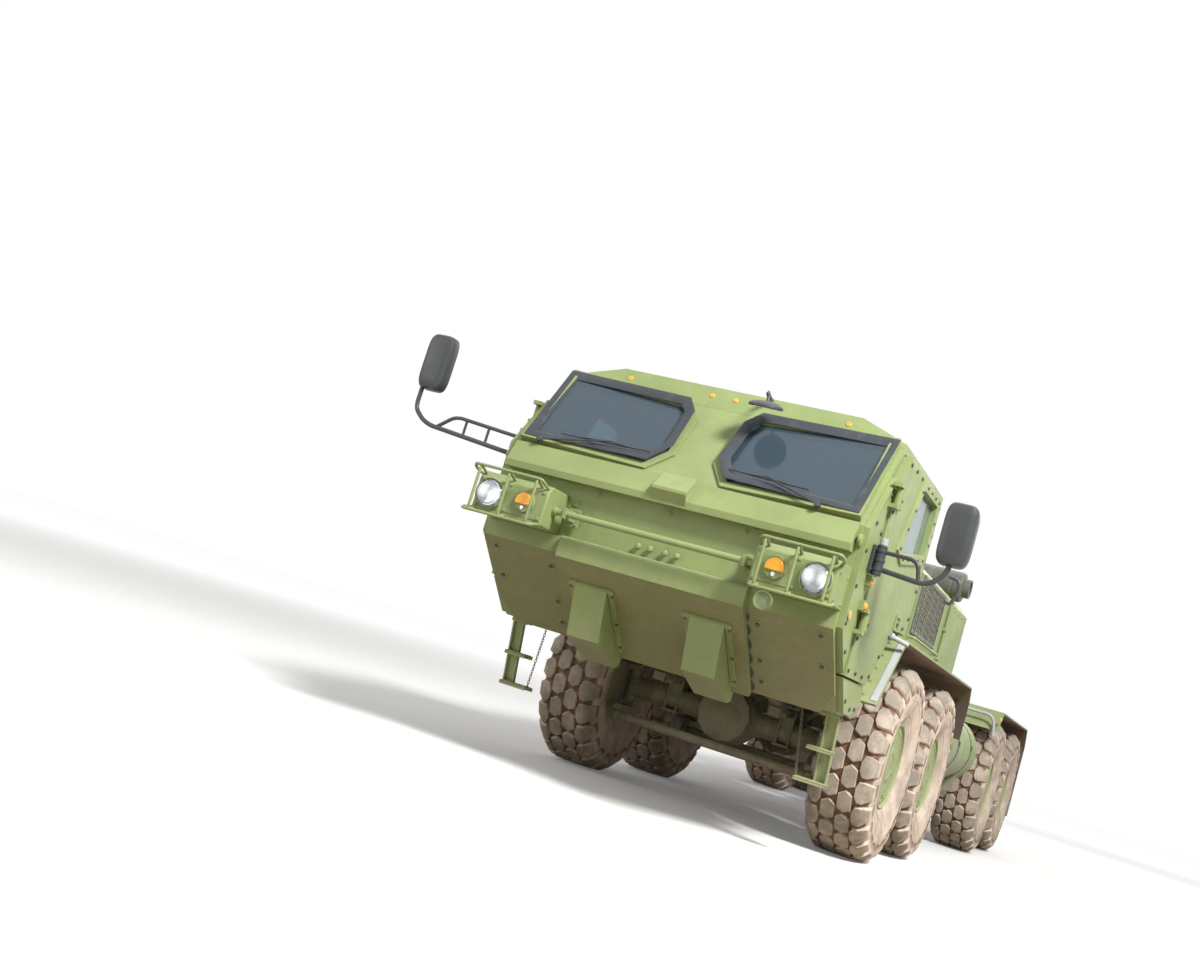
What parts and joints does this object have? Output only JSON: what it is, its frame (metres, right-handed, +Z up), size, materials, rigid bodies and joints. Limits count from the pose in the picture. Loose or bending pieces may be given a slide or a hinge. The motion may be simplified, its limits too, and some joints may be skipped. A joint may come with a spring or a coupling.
{
  "type": "armoured eight-wheel-drive cargo truck with hook-lift load handler",
  "caption": "Cab-forward heavy cargo truck: armoured faceted cab, engine housing behind it, large lugged tyres and an open frame with a folding hook arm for flat racks.",
  "frame": {"origin": "on the ground the tyres stand on, on the centreline, midway between the foremost lamp guard and the rearmost towing lug", "axes": "+Z up, -Y forwards, +X to the vehicle's left"},
  "size_m": [3.678, 10.398, 3],
  "materials": {
    "hull_paint": "matt",
    "screen_frame_paint": "matt",
    "thick_glass": "clear",
    "headlamp_glass": "clear",
    "amber_lens": "glossy",
    "chassis_paint": "matt",
    "rod_chrome": "polished",
    "black_paint": "matt",
    "flap_rubber": "matt",
    "grey_metal": "matt",
    "engine_iron": "rough",
    "seat_fabric": "woven",
    "dash_plastic": "matt",
    "tyre_rubber": "matt",
    "wheel_paint": "matt"
  },
  "bodies": {
    "chassis": {"cab_shell": "hull_paint", "cab_roof": "hull_paint", "sill_beam": "hull_paint", "chin_armour": "hull_paint", "side_plates": "hull_paint", "engine_housing": "hull_paint", "front_fenders": "hull_paint", "fuel_tank": "hull_paint", "rear_fenders": "hull_paint", "lamp_boxes": "hull_paint", "screen_frames": "screen_frame_paint", "screen_glass": "thick_glass", "headlamps": "headlamp_glass", "signal_lamps": "amber_lens", "frame_rails": "chassis_paint", "rear_beam": "chassis_paint", "lift_subframe": "chassis_paint", "running_gear": "chassis_paint", "tank_cradles": "chassis_paint", "service_boxes": "chassis_paint", "mirrors": "black_paint", "ladders": "black_paint", "side_grilles": "black_paint", "mud_flaps": "flap_rubber", "air_cleaner": "grey_metal", "engine_block": "engine_iron", "seats": "seat_fabric", "dashboard": "dash_plastic"},
    "door_left": {"door_left": "hull_paint", "door_glass_left": "thick_glass"},
    "door_right": {"door_right": "hull_paint", "door_glass_right": "thick_glass"},
    "knuckle_1_left": {"knuckle_1_left": "chassis_paint"},
    "knuckle_1_right": {"knuckle_1_right": "chassis_paint"},
    "tie_rod_1": {"tie_rod_1": "chassis_paint"},
    "knuckle_2_left": {"knuckle_2_left": "chassis_paint"},
    "knuckle_2_right": {"knuckle_2_right": "chassis_paint"},
    "tie_rod_2": {"tie_rod_2": "chassis_paint"},
    "wheel_1_left": {"tyre_1_left": "tyre_rubber", "rim_1_left": "wheel_paint"},
    "wheel_1_right": {"tyre_1_right": "tyre_rubber", "rim_1_right": "wheel_paint"},
    "wheel_2_left": {"tyre_2_left": "tyre_rubber", "rim_2_left": "wheel_paint"},
    "wheel_2_right": {"tyre_2_right": "tyre_rubber", "rim_2_right": "wheel_paint"},
    "wheel_3_left": {"tyre_3_left": "tyre_rubber", "rim_3_left": "wheel_paint"},
    "wheel_3_right": {"tyre_3_right": "tyre_rubber", "rim_3_right": "wheel_paint"},
    "wheel_4_left": {"tyre_4_left": "tyre_rubber", "rim_4_left": "wheel_paint"},
    "wheel_4_right": {"tyre_4_right": "tyre_rubber", "rim_4_right": "wheel_paint"},
    "middle_frame": {"middle_frame": "chassis_paint"},
    "hook_arm": {"hook_arm": "chassis_paint"},
    "main_barrels": {"main_barrels": "chassis_paint"},
    "main_rods": {"main_rods": "rod_chrome"},
    "arm_barrel": {"arm_barrel": "chassis_paint"},
    "arm_rod": {"arm_rod": "rod_chrome"}
  },
  "joints": [
    {"name": "door_left_hinge", "type": "hinge", "parent": "chassis", "child": "door_left", "pos_m": [1.172, -4.546, 1.4], "axis": [0, 0, -1], "range_deg": [0, 75]},
    {"name": "door_right_hinge", "type": "hinge", "parent": "chassis", "child": "door_right", "pos_m": [-1.172, -4.546, 1.4], "axis": [0, 0, 1], "range_deg": [0, 75]},
    {"name": "steer_1_left", "type": "hinge", "parent": "chassis", "child": "knuckle_1_left", "pos_m": [0.77, -2.619, 0.66576], "axis": [0, 0, 1], "range_deg": [-26, 26]},
    {"name": "steer_1_right", "type": "hinge", "parent": "chassis", "child": "knuckle_1_right", "pos_m": [-0.77, -2.619, 0.66576], "axis": [0, 0, 1], "range_deg": [-26, 26]},
    {"name": "tie_rod_1_slide", "type": "slide", "parent": "chassis", "child": "tie_rod_1", "axis": [1, 0, 0], "range_m": [-0.1189, 0.1189]},
    {"name": "steer_2_left", "type": "hinge", "parent": "chassis", "child": "knuckle_2_left", "pos_m": [0.77, -1.095, 0.66576], "axis": [0, 0, 1], "range_deg": [-19, 19]},
    {"name": "steer_2_right", "type": "hinge", "parent": "chassis", "child": "knuckle_2_right", "pos_m": [-0.77, -1.095, 0.66576], "axis": [0, 0, 1], "range_deg": [-19, 19]},
    {"name": "tie_rod_2_slide", "type": "slide", "parent": "chassis", "child": "tie_rod_2", "axis": [1, 0, 0], "range_m": [-0.0872, 0.0872]},
    {"name": "wheel_1_left_spin", "type": "hinge", "parent": "knuckle_1_left", "child": "wheel_1_left", "pos_m": [1.0035, -2.619, 0.66576], "axis": [1, 0, 0], "continuous": true},
    {"name": "wheel_1_right_spin", "type": "hinge", "parent": "knuckle_1_right", "child": "wheel_1_right", "pos_m": [-1.0035, -2.619, 0.66576], "axis": [1, 0, 0], "continuous": true},
    {"name": "wheel_2_left_spin", "type": "hinge", "parent": "knuckle_2_left", "child": "wheel_2_left", "pos_m": [1.0035, -1.095, 0.66576], "axis": [1, 0, 0], "continuous": true},
    {"name": "wheel_2_right_spin", "type": "hinge", "parent": "knuckle_2_right", "child": "wheel_2_right", "pos_m": [-1.0035, -1.095, 0.66576], "axis": [1, 0, 0], "continuous": true},
    {"name": "wheel_3_left_spin", "type": "hinge", "parent": "chassis", "child": "wheel_3_left", "pos_m": [1.0035, 2.715, 0.66576], "axis": [1, 0, 0], "continuous": true},
    {"name": "wheel_3_right_spin", "type": "hinge", "parent": "chassis", "child": "wheel_3_right", "pos_m": [-1.0035, 2.715, 0.66576], "axis": [1, 0, 0], "continuous": true},
    {"name": "wheel_4_left_spin", "type": "hinge", "parent": "chassis", "child": "wheel_4_left", "pos_m": [1.0035, 4.239, 0.66576], "axis": [1, 0, 0], "continuous": true},
    {"name": "wheel_4_right_spin", "type": "hinge", "parent": "chassis", "child": "wheel_4_right", "pos_m": [-1.0035, 4.239, 0.66576], "axis": [1, 0, 0], "continuous": true},
    {"name": "frame_lift", "type": "hinge", "parent": "chassis", "child": "middle_frame", "pos_m": [0, 4.381, 1.33], "axis": [-1, 0, 0], "range_deg": [0, 130]},
    {"name": "arm_tilt", "type": "hinge", "parent": "middle_frame", "child": "hook_arm", "pos_m": [0, 1.781, 1.36], "axis": [-1, 0, 0], "range_deg": [0, 55]},
    {"name": "main_barrels_swing", "type": "hinge", "parent": "chassis", "child": "main_barrels", "pos_m": [0, 1.281, 1.3], "axis": [1, 0, 0], "range_deg": [0, 9.26]},
    {"name": "main_rods_slide", "type": "slide", "parent": "main_barrels", "child": "main_rods", "axis": [0, 0.9995, 0.0325], "range_m": [0, 1.6616]},
    {"name": "arm_barrel_swing", "type": "hinge", "parent": "middle_frame", "child": "arm_barrel", "pos_m": [0, 3.681, 1.27], "axis": [-1, 0, 0], "range_deg": [0, 5.11]},
    {"name": "arm_rod_slide", "type": "slide", "parent": "arm_barrel", "child": "arm_rod", "axis": [0, -0.9943, -0.1071], "range_m": [0, 0.214]}
  ],
  "couplings": [
    {"joint": "steer_1_right", "follows": "steer_1_left", "ratio": 1},
    {"joint": "tie_rod_1_slide", "follows": "steer_1_left", "m_per_rad": 0.26083},
    {"joint": "steer_2_left", "follows": "steer_1_left", "ratio": 0.72},
    {"joint": "steer_2_right", "follows": "steer_1_left", "ratio": 0.72},
    {"joint": "tie_rod_2_slide", "follows": "steer_1_left", "m_per_rad": 0.19096},
    {"joint": "main_barrels_swing", "follows": "frame_lift", "ratio": 0.070815},
    {"joint": "main_rods_slide", "follows": "frame_lift", "m_per_rad": 0.73211},
    {"joint": "arm_barrel_swing", "follows": "arm_tilt", "ratio": 0.092061},
    {"joint": "arm_rod_slide", "follows": "arm_tilt", "m_per_rad": 0.22245}
  ]
}
